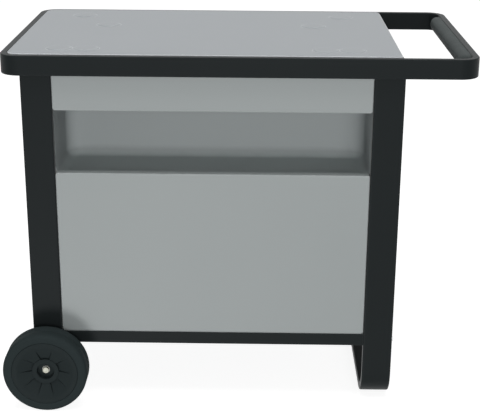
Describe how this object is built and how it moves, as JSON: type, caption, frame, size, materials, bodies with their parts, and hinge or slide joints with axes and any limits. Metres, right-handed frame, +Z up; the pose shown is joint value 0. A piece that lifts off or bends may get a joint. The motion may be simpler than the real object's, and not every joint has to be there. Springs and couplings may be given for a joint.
{
  "type": "plancha cart",
  "caption": "Wheeled outdoor cart for a plancha: grey sheet-metal worktop and panels in a dark tube frame with an open storage niche, a push handle and a sled foot.",
  "frame": {"origin": "on the floor, under the middle of the cart's bounding box", "axes": "+X towards the handle, along the cart's length; +Y from the closed front to the open rear; +Z up, out of the worktop"},
  "size_m": [1.09, 0.722, 0.854],
  "materials": {
    "frame_paint": "semi-gloss charcoal powder coat",
    "panel_paint": "satin grey powder coat",
    "worktop_paint": "satin grey powder coat",
    "niche_paint": "satin grey powder coat",
    "grip_plastic": "fine-grained black plastic",
    "cap_plastic": "black moulded plastic",
    "wheel_plastic": "dark grey moulded plastic",
    "tyre_rubber": "dark grey soft plastic tread",
    "bush_nylon": "natural nylon",
    "zinc_steel": "bright zinc plate"
  },
  "bodies": {
    "cart": {"top_ring": "frame_paint", "front_left_leg": "frame_paint", "rear_left_leg": "frame_paint", "right_leg_loop": "frame_paint", "front_bottom_rail": "frame_paint", "rear_bottom_rail": "frame_paint", "left_bottom_rail": "frame_paint", "left_top_rail": "frame_paint", "right_bottom_rail": "frame_paint", "right_top_rail": "frame_paint", "front_panel": "panel_paint", "fascia": "panel_paint", "left_side_panel": "panel_paint", "right_side_panel": "panel_paint", "ring_nuts": "zinc_steel", "leg_bolts": "zinc_steel", "worktop_screws": "zinc_steel", "rail_bolts": "zinc_steel", "shelf_screws": "zinc_steel", "front_panel_screws": "zinc_steel", "fascia_screws": "zinc_steel", "bin_screws": "zinc_steel", "side_panel_screws": "zinc_steel", "axle": "zinc_steel", "axle_spacers": "zinc_steel", "axle_washers": "zinc_steel", "axle_caps": "zinc_steel", "worktop": "worktop_paint", "storage_bin": "niche_paint", "bottom_shelf": "niche_paint", "handle_grip": "grip_plastic", "left_leg_caps": "cap_plastic", "rail_inserts": "cap_plastic", "axle_bushes": "bush_nylon"},
    "front_wheel": {"front_wheel_tyre": "tyre_rubber", "front_wheel_disc": "wheel_plastic", "front_wheel_bush": "bush_nylon"},
    "rear_wheel": {"rear_wheel_tyre": "tyre_rubber", "rear_wheel_disc": "wheel_plastic", "rear_wheel_bush": "bush_nylon"}
  },
  "joints": [
    {"name": "front_wheel_spin", "type": "hinge", "parent": "cart", "child": "front_wheel", "pos_m": [-0.445, -0.332, 0.1], "axis": [0, 1, 0], "continuous": true},
    {"name": "rear_wheel_spin", "type": "hinge", "parent": "cart", "child": "rear_wheel", "pos_m": [-0.445, 0.332, 0.1], "axis": [0, 1, 0], "continuous": true}
  ]
}
